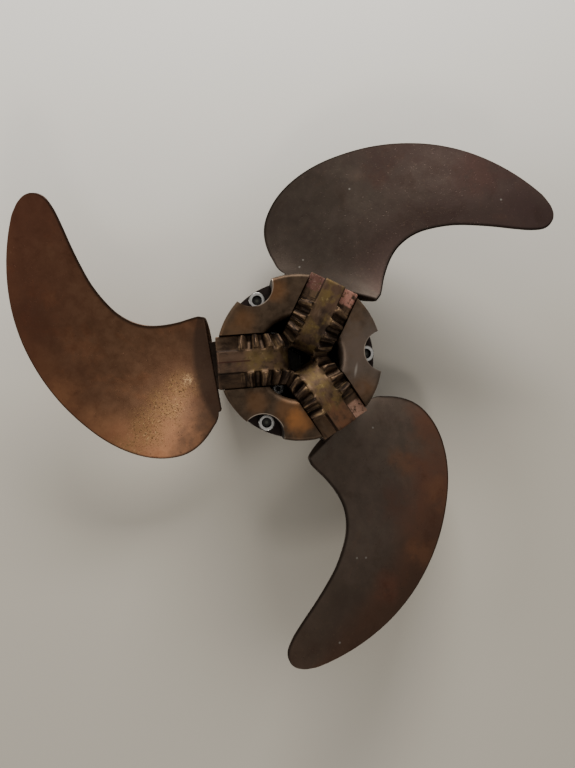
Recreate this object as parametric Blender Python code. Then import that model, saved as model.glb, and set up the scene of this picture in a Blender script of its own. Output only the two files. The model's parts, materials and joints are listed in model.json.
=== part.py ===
# Folding boat propeller, three blades, 18.5 inch, left-handed.
# The shaft runs along Z and +Z points aft. The origin is on the shaft axis, at the middle of the
# propeller's volume. It rests on the forward face of its drive flange, with its blades open.

from math import acos, asin, atan2, ceil, cos, degrees, hypot, pi, radians, sin, sqrt, tan

import bmesh
import bpy
from mathutils import Matrix, Vector

MM = 0.001

# Whole propeller
blade_directions = (180, 60, -60)
disc_radius = 234 * MM
pitch = 280 * MM
hinge_height = 26 * MM
fit = 0.3 * MM

# Hub casting, heights are measured from the hinge plane
hub_radius = 61 * MM
ear_top = 23 * MM
hub_bottom = -65 * MM
cavity_floor = -55 * MM
cavity_radius = 31 * MM
cavity_chamfer = 5.5 * MM
hub_chamfer = 4.5 * MM
slot_half_width = 19.7 * MM
sill_height = -42 * MM
wall_inner_radius = 56 * MM

# Drive flange, with a rubber bush and a splined sleeve in its bore
flange_bottom = -77 * MM
flange_chamfer = 1.5 * MM
spigot_radius = 21.5 * MM
spigot_top = -57 * MM
bush_outer_radius = 18 * MM
bush_inner_radius = 15 * MM
spline_root_radius = 12.8 * MM
spline_tip_radius = 11.4 * MM
spline_count = 18

# Blade hinges
hinge_radius = 33 * MM
pin_radius = 7 * MM
pin_low_end = -36 * MM
pin_high_end = 28 * MM
plug_end = 35 * MM
plug_socket_width = 8 * MM

# Blade root: a block that turns on the pin, with bevel gear teeth round its inner side
root_half_width = 19.2 * MM
heel_radius = 16 * MM
root_outer_end = 27.5 * MM
root_bottom = -42 * MM
neck_start = 13 * MM
foot_start = 14 * MM
neck_end = 44 * MM
tooth_cap_radius = 29.5 * MM
band_radius = 26.2 * MM
band_half_width = 8 * MM
band_edge = 5.5 * MM
core_radius = 20 * MM
tooth_start = 8.8 * MM
tooth_start_radius = 27.3 * MM
pad_height = 19.3 * MM
sector_end = 105
tooth_count = 16
cone_angle = radians(30)
pressure_angle = radians(25)
tooth_backlash = 0.4 * MM
gap_small_end = 21.5 * MM
gap_large_end = 7.7 * MM
clockwise_first_gap = -31
counter_first_gap = -19.75

# Blade outline: share of the disc radius, then the angles of the counterclockwise (leading) and the
# clockwise (trailing) edge, seen from aft, clockwise positive, and the thickness in millimetres.
blade_height = -19.8 * MM
palm_leading = (61 * MM, 37.5 * MM)
palm_trailing = (67.5 * MM, -36.5 * MM)
palm_thickness = 13
blade_stations = (
    (0.35, -35.0, 26.9, 12.5),
    (0.40, -37.3, 21.6, 11.5),
    (0.45, -38.0, 18.4, 10.5),
    (0.50, -37.0, 16.9, 9.7),
    (0.55, -34.2, 17.1, 9.0),
    (0.60, -30.2, 18.6, 8.3),
    (0.65, -25.0, 21.2, 7.6),
    (0.70, -18.9, 24.2, 6.9),
    (0.75, -12.1, 27.6, 6.3),
    (0.80, -5.4, 30.8, 5.7),
    (0.85, 1.6, 33.7, 5.1),
    (0.90, 9.1, 35.9, 4.5),
    (0.94, 16.2, 36.7, 4.0),
    (0.97, 22.7, 36.2, 3.6),
    (0.985, 26.5, 35.5, 3.3),
    (0.995, 29.4, 34.4, 3.1),
    (1.00, 31.0, 33.2, 3.0),
)
edge_thickness = 1.8 * MM
chord_steps = 8

# Fasteners
outer_screw_radius = 54.1 * MM
outer_screw = {"shank": 4 * MM, "head": 6.5 * MM, "height": 5.5 * MM, "socket": 6 * MM}
pocket_floor = -8 * MM
pocket_radius = 15.4 * MM
pocket_centre = 62.8 * MM
inner_screw_radius = 25.4 * MM
inner_screw = {"shank": 3 * MM, "head": 5 * MM, "height": 6 * MM, "socket": 5 * MM}
screw_hole_bottom = -74.3 * MM

# Rounds
hub_sides = 60
small_sides = 16


def clear_scene():
    for obj in list(bpy.data.objects):
        bpy.data.objects.remove(obj, do_unlink=True)


def make_material(name, colour, roughness, metallic):
    material = bpy.data.materials.new(name)
    material.use_nodes = True
    shader = material.node_tree.nodes["Principled BSDF"]
    shader.inputs["Base Color"].default_value = (*colour, 1)
    shader.inputs["Roughness"].default_value = roughness
    shader.inputs["Metallic"].default_value = metallic
    return material


def object_from(bm, name):
    """An object in the scene, made from a bmesh whose faces are turned outwards."""
    bmesh.ops.recalc_face_normals(bm, faces=bm.faces)
    mesh = bpy.data.meshes.new(name)
    bm.to_mesh(mesh)
    bm.free()
    obj = bpy.data.objects.new(name, mesh)
    bpy.context.scene.collection.objects.link(obj)
    return obj


def prism(name, bottom, top):
    """A solid between two rings of points of equal count."""
    return lofted(name, (bottom, top))


def bridge(bm, rings):
    """Joins each ring of vertices to the next with quads."""
    count = len(rings[0])
    for here, after in zip(rings, rings[1:]):
        for i in range(count):
            j = (i + 1) % count
            bm.faces.new((here[i], here[j], after[j], after[i]))


def lofted(name, rings):
    """A solid through rings of points of equal count, with a flat face at each end."""
    bm = bmesh.new()
    rings = [[bm.verts.new(point) for point in ring_points] for ring_points in rings]
    bridge(bm, rings)
    bm.faces.new(rings[0][::-1])
    bm.faces.new(rings[-1])
    return object_from(bm, name)


def turned(name, profile, sides):
    """A closed profile of (radius, height) points spun about Z. Points on the axis are made once."""
    bm = bmesh.new()
    poles = {i: bm.verts.new((0, 0, z)) for i, (r, z) in enumerate(profile) if r == 0}
    rings = []
    for step in range(sides):
        angle = 2 * pi * step / sides
        here = (cos(angle), sin(angle))
        rings.append([
            poles[i] if i in poles else bm.verts.new((r * here[0], r * here[1], z))
            for i, (r, z) in enumerate(profile)
        ])
    count = len(profile)
    for step in range(sides):
        here = rings[step]
        after = rings[(step + 1) % sides]
        for i in range(count):
            j = (i + 1) % count
            corners = list(dict.fromkeys((here[i], after[i], after[j], here[j])))
            if len(corners) > 2:
                bm.faces.new(corners)
    return object_from(bm, name)


def ring(name, inner, outer, low, high, sides):
    return turned(name, ((inner, low), (outer, low), (outer, high), (inner, high)), sides)


def cylinder(name, radius, low, high, sides=small_sides, centre=(0, 0)):
    ring = [2 * pi * (step + 0.5) / sides for step in range(sides)]
    rim = [(centre[0] + radius * cos(a), centre[1] + radius * sin(a)) for a in ring]
    return prism(name, [(x, y, low) for x, y in rim], [(x, y, high) for x, y in rim])


def boolean(obj, other, operation):
    """Adds an exact Boolean to the object; the other object stays as a hidden helper."""
    modifier = obj.modifiers.new(operation.title() + " " + other.name, "BOOLEAN")
    modifier.operation = operation
    modifier.solver = "EXACT"
    modifier.object = other
    other.hide_render = True
    other.display_type = "WIRE"


def apply_modifiers(obj):
    """Swaps the object's mesh for the evaluated one and removes the helpers that it used."""
    helpers = [m.object for m in obj.modifiers if m.type == "BOOLEAN"]
    graph = bpy.context.evaluated_depsgraph_get()
    mesh = bpy.data.meshes.new_from_object(obj.evaluated_get(graph))
    obj.modifiers.clear()
    obj.data = mesh
    for helper in helpers:
        bpy.data.objects.remove(helper, do_unlink=True)


def finish(obj, material, sharp_angle=35):
    obj.data.materials.clear()
    obj.data.materials.append(material)
    obj.data.shade_smooth()
    obj.data.set_sharp_from_angle(angle=radians(sharp_angle))


def direction(degrees_from_x):
    return Vector((cos(radians(degrees_from_x)), sin(radians(degrees_from_x)), 0))


def place(obj, degrees_from_x, radius=0):
    """Turns the object about Z and moves it out from the shaft axis, at the hinge height."""
    obj.rotation_euler.z = radians(degrees_from_x)
    obj.location = direction(degrees_from_x) * radius + Vector((0, 0, hinge_height))


def turn_mesh(obj, degrees_from_x, radius=0):
    """Turns a helper's mesh about Z and moves it out, so that it cuts where it is needed."""
    shift = Matrix.Translation(direction(degrees_from_x) * radius)
    obj.data.transform(shift @ Matrix.Rotation(radians(degrees_from_x), 4, "Z"))


def along_hinge(radius, low, high, name, sides=small_sides):
    """A cylinder on the local Y axis, which is the hinge axis of a blade."""
    ring = [2 * pi * (step + 0.5) / sides for step in range(sides)]
    rim = [(radius * cos(a), radius * sin(a)) for a in ring]
    return prism(name, [(x, low, z) for x, z in rim], [(x, high, z) for x, z in rim])


def across_hinge(name, outline, half_width):
    """An outline of (x, z) points extruded both ways along the hinge axis."""
    low = [(x, -half_width, z) for x, z in outline]
    return prism(name, low, [(x, half_width, z) for x, z in outline])


def ear_directions():
    return [angle + 60 for angle in blade_directions]


def hub_body(material):
    profile = (
        (0, hub_bottom),
        (hub_radius - flange_chamfer, hub_bottom),
        (hub_radius, hub_bottom + flange_chamfer),
        (hub_radius, ear_top - hub_chamfer),
        (hub_radius - hub_chamfer, ear_top),
        (0, ear_top),
    )
    hub = turned("hub_body", profile, hub_sides)
    above = ear_top + 10 * MM
    cavity_profile = (
        (0, cavity_floor),
        (cavity_radius, cavity_floor),
        (cavity_radius, ear_top - cavity_chamfer),
        (cavity_radius + cavity_chamfer, ear_top),
        (cavity_radius + cavity_chamfer + 10 * MM, above),
        (0, above),
    )
    boolean(hub, turned("cavity", cavity_profile, hub_sides), "DIFFERENCE")
    centre_hole = cylinder("centre_hole", spigot_radius + fit, hub_bottom - 5 * MM, 0, hub_sides)
    boolean(hub, centre_hole, "DIFFERENCE")
    for number, angle in enumerate(blade_directions, 1):
        cut_blade_slot(hub, number, angle, above)
    for number, angle in enumerate(ear_directions(), 1):
        cut_ear(hub, number, angle, above)
    apply_modifiers(hub)
    place(hub, 0)
    finish(hub, material)


def cut_blade_slot(hub, number, angle, above):
    """The slot of one blade, the well below it inside the outer wall, and the bore of its pin."""
    start = cavity_radius / 2
    well_floor = cavity_floor + 1 * MM
    beyond = hub_radius * 1.2
    outline = (
        (start, well_floor),
        (wall_inner_radius, well_floor),
        (wall_inner_radius, sill_height - fit),
        (beyond, sill_height - fit),
        (beyond, above),
        (start, above),
    )
    slot = across_hinge(f"slot_{number}", outline, slot_half_width)
    bore = along_hinge(pin_radius + fit, pin_low_end - fit, hub_radius, f"pin_bore_{number}")
    bore.data.transform(Matrix.Translation((hinge_radius, 0, 0)))
    for cutter in (slot, bore):
        turn_mesh(cutter, angle)
        boolean(hub, cutter, "DIFFERENCE")


def cut_ear(hub, number, angle, above):
    """The pocket for the outer screw and the holes of both screws."""
    centre = (pocket_centre, 0)
    pocket = cylinder(f"pocket_{number}", pocket_radius, pocket_floor, above, 36, centre)
    outer_hole = screw_hole(f"outer_hole_{number}", outer_screw, outer_screw_radius, above)
    inner_hole = screw_hole(f"inner_hole_{number}", inner_screw, inner_screw_radius, 0)
    for cutter in (pocket, outer_hole, inner_hole):
        turn_mesh(cutter, angle)
        boolean(hub, cutter, "DIFFERENCE")


def screw_hole(name, screw, radius, top):
    return cylinder(name, screw["shank"] + fit, screw_hole_bottom, top, small_sides, (radius, 0))


def drive_flange(material):
    plate_top = hub_bottom - fit
    profile = (
        (bush_outer_radius, flange_bottom),
        (hub_radius - flange_chamfer, flange_bottom),
        (hub_radius, flange_bottom + flange_chamfer),
        (hub_radius, plate_top),
        (spigot_radius, plate_top),
        (spigot_radius, spigot_top),
        (bush_outer_radius, spigot_top),
    )
    flange = turned("drive_flange", profile, hub_sides)
    for number, angle in enumerate(ear_directions(), 1):
        outer_hole = screw_hole(f"outer_thread_{number}", outer_screw, outer_screw_radius, 0)
        inner_hole = screw_hole(f"inner_thread_{number}", inner_screw, inner_screw_radius, 0)
        for cutter in (outer_hole, inner_hole):
            turn_mesh(cutter, angle)
            boolean(flange, cutter, "DIFFERENCE")
    apply_modifiers(flange)
    place(flange, 0)
    finish(flange, material)


def rubber_bush(material):
    inner = bush_inner_radius + fit / 2
    outer = bush_outer_radius - fit / 2
    bush = ring("rubber_bush", inner, outer, flange_bottom + 1.5 * MM, spigot_top - 1.5 * MM, hub_sides)
    place(bush, 0)
    finish(bush, material)


def splined_sleeve(material):
    """The sleeve that the drive shaft fits, with straight splines along its bore."""
    low = flange_bottom + 0.5 * MM
    high = spigot_top + 2 * MM
    radius = bush_inner_radius - fit / 2
    sleeve = cylinder("splined_sleeve", radius, low, high, hub_sides)
    outline = []
    for i in range(spline_count):
        for share, distance in (
            (-0.22, spline_root_radius),
            (0.22, spline_root_radius),
            (0.32, spline_tip_radius),
            (0.68, spline_tip_radius),
        ):
            angle = 2 * pi * (i + share) / spline_count
            outline.append((distance * cos(angle), distance * sin(angle)))
    bottom = [(x, y, low - 1 * MM) for x, y in outline]
    top = [(x, y, high + 1 * MM) for x, y in outline]
    boolean(sleeve, prism("spline_bore", bottom, top), "DIFFERENCE")
    apply_modifiers(sleeve)
    place(sleeve, 0)
    finish(sleeve, material)


def cap_screw(name, screw, seat):
    """A hexagon socket cap screw whose head sits on the height seat, down to the hole's bottom."""
    top = seat + screw["height"]
    edge = 0.6 * MM
    profile = (
        (0, screw_hole_bottom + fit),
        (screw["shank"], screw_hole_bottom + fit),
        (screw["shank"], seat),
        (screw["head"], seat),
        (screw["head"], top - edge),
        (screw["head"] - edge, top),
        (0, top),
    )
    made = turned(name, profile, small_sides)
    depth = screw["height"] / 2
    width = screw["socket"] / sqrt(3)
    boolean(made, cylinder(name + "_socket", width, top - depth, top + 5 * MM, 6), "DIFFERENCE")
    apply_modifiers(made)
    return made


def copies(first, base_name, angles, radius, material):
    """Places the first object and its copies, which share its mesh, round the shaft axis."""
    finish(first, material)
    for number, angle in enumerate(angles, 1):
        made = first if number == 1 else bpy.data.objects.new(base_name, first.data)
        made.name = f"{base_name}_{number}"
        if number > 1:
            bpy.context.scene.collection.objects.link(made)
        place(made, angle, radius)


def fasteners(steel):
    outer = cap_screw("outer_cap_screw", outer_screw, pocket_floor + fit)
    copies(outer, "outer_cap_screw", ear_directions(), outer_screw_radius, steel)
    inner = cap_screw("inner_cap_screw", inner_screw, cavity_floor + fit)
    copies(inner, "inner_cap_screw", ear_directions(), inner_screw_radius, steel)


def hinge_pins(steel):
    pin = along_hinge(pin_radius, pin_low_end, pin_high_end, "hinge_pin", 32)
    copies(pin, "hinge_pin", blade_directions, hinge_radius, steel)
    plug = along_hinge(pin_radius, pin_high_end + fit, plug_end, "pin_plug", 32)
    socket_depth = 4 * MM
    width = plug_socket_width / sqrt(3)
    socket = along_hinge(width, plug_end - socket_depth, plug_end + 5 * MM, "plug_socket", 6)
    boolean(plug, socket, "DIFFERENCE")
    apply_modifiers(plug)
    copies(plug, "pin_plug", blade_directions, hinge_radius, steel)


def root_point(radius, angle):
    """A point round the hinge: the angle runs from straight aft towards the shaft axis."""
    return (-radius * sin(radians(angle)), radius * cos(radians(angle)))


def root_core():
    """The root seen along the hinge, extruded to its width: foot, heel and flat pads."""
    outline = [(root_outer_end, root_bottom), (foot_start, root_bottom)]
    pad_end = degrees(acos(pad_height / core_radius))
    for radius, start, end in ((heel_radius, 180, sector_end + 5), (core_radius, sector_end - 5, pad_end)):
        outline += [root_point(radius, start + (end - start) * i / 6) for i in range(7)]
    outline.append((root_outer_end, pad_height))
    return across_hinge("root_core", outline, root_half_width)


def root_band():
    """The smooth band between the tooth rows, which runs out flat to the root's outer end."""
    end = sector_end - 1
    outer = root_outer_end - fit
    outline = [root_point(band_radius, end * (1 - i / 18)) for i in range(19)]
    outline += [(outer, band_radius), (outer, 0), root_point(heel_radius - 1 * MM, end)]
    return across_hinge("root_band", outline, band_half_width)


def tooth_row(side, start):
    """The blank of one tooth row: a turned sector with its face cone, before the gaps are cut."""
    apex = 2 * hinge_radius * sin(radians(60))
    face_angle = cone_angle + atan2(1, tooth_count)
    inner = heel_radius - 2 * MM
    profile = (
        (band_edge, inner),
        (band_edge, band_radius - 0.3 * MM),
        (tooth_start, tooth_start_radius),
        (tooth_start, tooth_cap_radius),
        (apex - tooth_cap_radius / tan(face_angle), tooth_cap_radius),
        (root_half_width - fit, (apex - root_half_width) * tan(face_angle)),
        (root_half_width - fit, inner),
    )
    steps = 24
    rings = []
    for step in range(steps + 1):
        angle = start + (sector_end - start) * step / steps
        points = [(position, root_point(radius, angle)) for position, radius in profile]
        rings.append([(x, side * position, z) for position, (x, z) in points])
    return lofted(f"tooth_row_{side + 1}", rings)


def gap_outline(cone_distance):
    """Half of a tooth gap on the developed back cone: (height over the pitch cone, angle) points."""
    pitch_radius = cone_distance * tan(cone_angle)
    module = 2 * cone_distance * sin(cone_angle) / tooth_count
    virtual_count = tooth_count / cos(cone_angle)
    base_radius = pitch_radius * cos(pressure_angle)
    tooth_half = pi / (2 * virtual_count) - tooth_backlash / pitch_radius
    involute = tan(pressure_angle) - pressure_angle
    points = []
    for share in (-1.2, -0.45, 0.1, 0.6, 1.0, 1.8):
        radius = pitch_radius + share * module
        at = acos(min(1, base_radius / radius))
        half = pi / virtual_count - (tooth_half + involute - (tan(at) - at))
        points.append((share * module, half / cos(cone_angle)))
    return points


def gap_ring(side, gap_angle, hinge_position):
    """One end of a tooth gap cutter, square to the pitch cone, for the row on the given side."""
    apex = 2 * hinge_radius * sin(radians(60))
    cone_distance = (apex - hinge_position) / cos(cone_angle)
    half = gap_outline(cone_distance)
    points = []
    for turn, heights in ((-1, half[::-1]), (1, half)):
        for height, offset in heights:
            angle = radians(gap_angle) + turn * offset
            reach = cone_distance * sin(cone_angle) + height * cos(cone_angle)
            position = apex - cone_distance * cos(cone_angle) + height * sin(cone_angle)
            points.append((-reach * sin(angle), side * position, reach * cos(angle)))
    return points


def cut_teeth(root, side, first):
    step = 360 / tooth_count
    for number in range(ceil((sector_end - first) / step)):
        angle = first + number * step
        small = gap_ring(side, angle, gap_small_end)
        large = gap_ring(side, angle, gap_large_end)
        boolean(root, prism(f"tooth_gap_{side + 1}_{number}", small, large), "DIFFERENCE")


def blade_root():
    """A block that turns on the pin, with a row of bevel gear teeth at each side of its band."""
    root = root_core()
    boolean(root, root_band(), "UNION")
    for side, first in ((-1, clockwise_first_gap), (1, counter_first_gap)):
        boolean(root, tooth_row(side, first), "UNION")
        cut_teeth(root, side, first)
    apply_modifiers(root)
    return root


def blade_point(radius, angle_degrees, depth):
    """A point of the blade in the root's frame: depth is measured square to the aft face."""
    rise = pitch / (2 * pi)
    slope = atan2(rise, radius)
    angle = radians(angle_degrees) + depth * sin(slope) / radius
    height = blade_height + rise * radians(angle_degrees) - depth * cos(slope)
    return Vector((radius * cos(angle) - hinge_radius, -radius * sin(angle), height))


def blade_rings():
    """One closed ring of points for each station, from the palm to the tip."""
    rings = []
    for share, leading, trailing, depth in ((0, 0, 0, palm_thickness), *blade_stations):
        face = []
        back = []
        for step in range(chord_steps + 1):
            t = (1 - cos(pi * step / chord_steps)) / 2
            if share:
                radius = disc_radius * share
                angle = leading + (trailing - leading) * t
            else:
                start, end = Vector(palm_leading), Vector(palm_trailing)
                x, y = start.lerp(end, t)
                radius = hypot(x, y)
                angle = degrees(atan2(-y, x))
            swell = (4 * t * (1 - t)) ** 0.75
            thick = edge_thickness + (depth * MM - edge_thickness) * swell
            face.append(blade_point(radius, angle, 0))
            back.append(blade_point(radius, angle, thick))
        rings.append(face + back[::-1])
    return rings


def blade_plate():
    bm = bmesh.new()
    rings = [[bm.verts.new(point) for point in ring_points] for ring_points in blade_rings()]
    bridge(bm, rings)
    count = len(rings[0])
    for end in (rings[0], rings[-1]):
        for i in range(chord_steps):
            j = count - 1 - i
            bm.faces.new((end[i], end[i + 1], end[j - 1], end[j]))
    return object_from(bm, "blade_plate")


def neck():
    """Joins the root block to the palm, below the palm's aft face."""
    margin = 1 * MM
    rise = pitch / (2 * pi)
    rings = []
    ends = ((neck_start, root_half_width - 0.2 * MM, 60), (neck_end, 18 * MM, palm_thickness))
    for x, half, depth in ends:
        radius = x + hinge_radius
        ring_points = []
        for y in (-half, half):
            top = blade_height - rise * asin(y / hypot(radius, y)) - margin
            bottom = max(top - depth * MM, root_bottom + margin)
            ring_points.append(((x, y, top), (x, y, bottom)))
        (a, b), (c, d) = ring_points
        rings.append((a, c, d, b))
    return prism("neck", *rings)


def blades(bronze):
    root = blade_root()
    for piece in (neck(), blade_plate()):
        boolean(root, piece, "UNION")
    bore = along_hinge(pin_radius + fit, -2 * root_half_width, 2 * root_half_width, "pin_hole", 32)
    boolean(root, bore, "DIFFERENCE")
    apply_modifiers(root)
    copies(root, "blade", blade_directions, hinge_radius, bronze)


def main():
    clear_scene()
    blade_bronze = make_material("blade_bronze", (0.16, 0.09, 0.055), 0.42, 0.9)
    hub_bronze = make_material("hub_bronze", (0.22, 0.13, 0.07), 0.45, 0.9)
    steel = make_material("stainless_steel", (0.62, 0.62, 0.6), 0.25, 1.0)
    rubber = make_material("black_rubber", (0.02, 0.02, 0.02), 0.8, 0.0)
    hub_body(hub_bronze)
    drive_flange(hub_bronze)
    rubber_bush(rubber)
    splined_sleeve(hub_bronze)
    blades(blade_bronze)
    hinge_pins(steel)
    fasteners(steel)


main()
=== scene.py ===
# Folding boat propeller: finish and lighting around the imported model.
# World metres, +Z aft. The hinge plane of the three blades lies at hingeHeight.

import json
from math import acos, atan2, ceil, cos, degrees, hypot, pi, radians, sin, sqrt, tan

import bmesh
import bpy
from mathutils import Matrix, Quaternion, Vector, noise


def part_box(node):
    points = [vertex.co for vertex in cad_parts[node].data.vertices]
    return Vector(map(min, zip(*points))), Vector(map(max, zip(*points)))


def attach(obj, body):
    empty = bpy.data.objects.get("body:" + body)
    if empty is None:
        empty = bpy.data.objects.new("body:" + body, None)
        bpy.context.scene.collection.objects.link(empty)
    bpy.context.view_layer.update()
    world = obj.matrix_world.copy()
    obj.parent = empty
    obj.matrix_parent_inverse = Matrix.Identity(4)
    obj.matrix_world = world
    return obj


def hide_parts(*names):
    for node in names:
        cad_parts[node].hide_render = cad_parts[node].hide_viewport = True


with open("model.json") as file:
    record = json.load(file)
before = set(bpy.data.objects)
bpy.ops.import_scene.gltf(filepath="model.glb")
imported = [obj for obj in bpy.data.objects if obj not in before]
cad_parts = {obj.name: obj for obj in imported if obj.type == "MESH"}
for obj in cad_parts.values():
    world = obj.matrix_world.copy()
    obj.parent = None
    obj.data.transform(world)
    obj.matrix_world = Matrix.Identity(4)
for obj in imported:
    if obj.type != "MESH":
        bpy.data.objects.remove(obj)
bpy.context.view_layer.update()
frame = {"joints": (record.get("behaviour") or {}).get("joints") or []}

mm = 0.001
print("frame loaded")

# Places read from the frame
bladeTurns = {"blade_1": 180, "blade_2": 60, "blade_3": -60}   # degrees round the shaft
earTurns = [angle + 60 for angle in bladeTurns.values()]
hingePlace = Vector(next(j for j in frame["joints"] if j["child"] == "blade_1")["pos_m"])
hingeHeight = hingePlace.z
hingeRadius = hypot(hingePlace.x, hingePlace.y)
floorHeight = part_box("drive_flange")[0].z
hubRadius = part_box("drive_flange")[1].x

# Small mesh tools


def placed(name, data):
    obj = bpy.data.objects.new(name, data)
    bpy.context.scene.collection.objects.link(obj)
    return obj


def meshObject(name, bm):
    mesh = bpy.data.meshes.new(name)
    bm.to_mesh(mesh)
    bm.free()
    return placed(name, mesh)


def newObject(name, bm):
    bmesh.ops.recalc_face_normals(bm, faces=bm.faces)
    return meshObject(name, bm)


def bridgeRings(bm, rings):
    count = len(rings[0])
    for here, after in zip(rings, rings[1:]):
        for i in range(count):
            j = (i + 1) % count
            bm.faces.new((here[i], here[j], after[j], after[i]))


# Solid through rings of equal count, flat at both ends.
def loft(name, rings):
    bm = bmesh.new()
    rings = [[bm.verts.new(point) for point in ring] for ring in rings]
    bridgeRings(bm, rings)
    bm.faces.new(rings[0][::-1])
    bm.faces.new(rings[-1])
    return newObject(name, bm)


# Closed (radius, height) profile spun about Z; a point on the axis is made once.
def spin(name, profile, sides):
    bm = bmesh.new()
    poles = {i: bm.verts.new((0, 0, z)) for i, (r, z) in enumerate(profile) if r == 0}
    rings = []
    for step in range(sides):
        a = 2 * pi * step / sides
        rings.append([poles[i] if i in poles else bm.verts.new((r * cos(a), r * sin(a), z))
                      for i, (r, z) in enumerate(profile)])
    for step in range(sides):
        here, after = rings[step], rings[(step + 1) % sides]
        for i in range(len(profile)):
            j = (i + 1) % len(profile)
            corners = list(dict.fromkeys((here[i], after[i], after[j], here[j])))
            if len(corners) > 2:
                bm.faces.new(corners)
    return newObject(name, bm)


# Points on an arc, angles in degrees.
def arc(centre, radius, start, end, steps=6):
    angles = [radians(start + (end - start) * i / steps) for i in range(steps + 1)]
    return [(centre[0] + radius * cos(a), centre[1] + radius * sin(a)) for a in angles]


def circle(radius, height, sides):
    turns = [2 * pi * i / sides for i in range(sides)]
    return [(radius * cos(a), radius * sin(a), height) for a in turns]


# Cylinder or prism along Z, or along Y, which is the hinge direction of a blade frame.
def rod(name, radius, low, high, sides, centre=(0, 0), along="Z"):
    rim = [(centre[0] + radius * cos(2 * pi * (i + 0.5) / sides),
            centre[1] + radius * sin(2 * pi * (i + 0.5) / sides)) for i in range(sides)]
    if along == "Z":
        return loft(name, [[(x, y, z) for x, y in rim] for z in (low, high)])
    return loft(name, [[(x, y, z) for x, z in rim] for y in (low, high)])


# (x, z) outline extruded both ways along Y.
def extrudeAcross(name, outline, halfWidth):
    return loft(name, [[(x, y, z) for x, z in outline] for y in (-halfWidth, halfWidth)])


def combine(obj, other, operation="DIFFERENCE"):
    modifier = obj.modifiers.new(other.name, "BOOLEAN")
    modifier.operation = operation
    modifier.solver = "EXACT"
    modifier.object = other


# Turn the evaluated mesh into the object's own mesh and drop its cutters.
def settle(obj):
    helpers = [m.object for m in obj.modifiers if m.type == "BOOLEAN"]
    graph = bpy.context.evaluated_depsgraph_get()
    mesh = bpy.data.meshes.new_from_object(obj.evaluated_get(graph))
    obj.modifiers.clear()
    obj.data = mesh
    for helper in helpers:
        bpy.data.objects.remove(helper, do_unlink=True)
    return obj


def joinAll(name, objects):
    bm = bmesh.new()
    for obj in objects:
        bm.from_mesh(obj.data)
        bpy.data.objects.remove(obj, do_unlink=True)
    return meshObject(name, bm)


# Move the mesh itself out along X, up, and round the shaft; the object stays at the origin.
def turnInPlace(obj, angle=0.0, radius=0.0, height=0.0):
    out = Matrix.Translation((radius, 0, height))
    obj.data.transform(Matrix.Rotation(radians(angle), 4, "Z") @ out)
    return obj


# Bevelled edges with the large flat faces kept flat in the shading.
def softEdges(obj, width, segments=2, angle=38):
    bevel = obj.modifiers.new("soft edges", "BEVEL")
    bevel.width = width
    bevel.segments = segments
    bevel.limit_method = "ANGLE"
    bevel.angle_limit = radians(angle)
    settle(obj)
    smoothShade(obj, 40)
    weighted = obj.modifiers.new("flat faces", "WEIGHTED_NORMAL")
    weighted.keep_sharp = True
    weighted.weight = 80
    return settle(obj)


def smoothShade(obj, angle=35):
    obj.data.shade_smooth()
    obj.data.set_sharp_from_angle(angle=radians(angle))


def dress(obj, body, material, replaced=()):
    obj.data.materials.clear()
    obj.data.materials.append(material)
    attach(obj, body)
    if replaced:
        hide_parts(*replaced)
    return obj


# Shader tools


def addNode(tree, kind, inputs=(), **settings):
    made = tree.nodes.new(kind)
    for key, value in settings.items():
        setattr(made, key, value)
    for key, value in dict(inputs).items():
        if isinstance(value, bpy.types.NodeSocket):
            tree.links.new(value, made.inputs[key])
        else:
            made.inputs[key].default_value = value
    return made


# The node tree of the first socket among the values.
def treeOf(*values):
    return next(value.id_data for value in values if isinstance(value, bpy.types.NodeSocket))


def mathNode(operation, a, b=0.0, clamp=False):
    made = addNode(treeOf(a, b), "ShaderNodeMath", {0: a, 1: b}, operation=operation, use_clamp=clamp)
    return made.outputs[0]


def minus(a, b):
    return mathNode("SUBTRACT", a, b)


def plus(a, b):
    return mathNode("ADD", a, b)


def larger(a, b):
    return mathNode("MAXIMUM", a, b)


# Product of two or more shares.
def times(first, *others):
    for other in others:
        first = mathNode("MULTIPLY", first, other)
    return first


def grain(place, scale, detail=4.0, rough=0.55, warp=0.0, seed=0.0):
    values = {"Vector": place, "W": seed, "Scale": scale, "Detail": detail, "Roughness": rough,
              "Distortion": warp}
    return addNode(treeOf(place), "ShaderNodeTexNoise", values, noise_dimensions="4D").outputs[0]


# Smooth step from 0 below low to 1 above high; swap them for a step down.
def stepUp(value, low, high):
    values = {"Value": value, "From Min": low, "From Max": high}
    return addNode(treeOf(value), "ShaderNodeMapRange", values, interpolation_type="SMOOTHSTEP",
                   clamp=True).outputs[0]


def blend(share, a, b, kind="MIX"):
    values = {0: share, 6: a, 7: b}
    for key in (6, 7):
        if isinstance(values[key], tuple):
            values[key] += (1,)
    return addNode(treeOf(share, a, b), "ShaderNodeMix", values, data_type="RGBA",
                   blend_type=kind).outputs[2]


# Lays another colour over a colour, by the product of the shares.
def paint(colour, over, *shares, kind="MIX"):
    return blend(times(*shares), colour, over, kind)


def apart(a, b=(0, 0, 0)):
    made = addNode(treeOf(a, b), "ShaderNodeVectorMath", {0: a, 1: b}, operation="DISTANCE")
    return made.outputs["Value"]


# 1 inside a ragged round patch, fading to 0 outside.
def spot(place, centre, radius, raggedness=0.3, scale=120.0):
    share = mathNode("DIVIDE", apart(place, centre), radius)
    ragged = times(minus(grain(place, scale), 0.5), raggedness * 4)
    return stepUp(plus(share, ragged), 1.25, 0.25)


# 1 within the radius of any (x, y) point, whatever the height.
def nearAny(place, points, radius, soft):
    values = {0: place, 1: (1, 1, 0)}
    flat = addNode(treeOf(place), "ShaderNodeVectorMath", values, operation="MULTIPLY").outputs[0]
    closest = 1.0
    for x, y in points:
        closest = mathNode("MINIMUM", apart(flat, (x, y, 0)), closest)
    return stepUp(closest, radius + soft, radius - soft)


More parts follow.
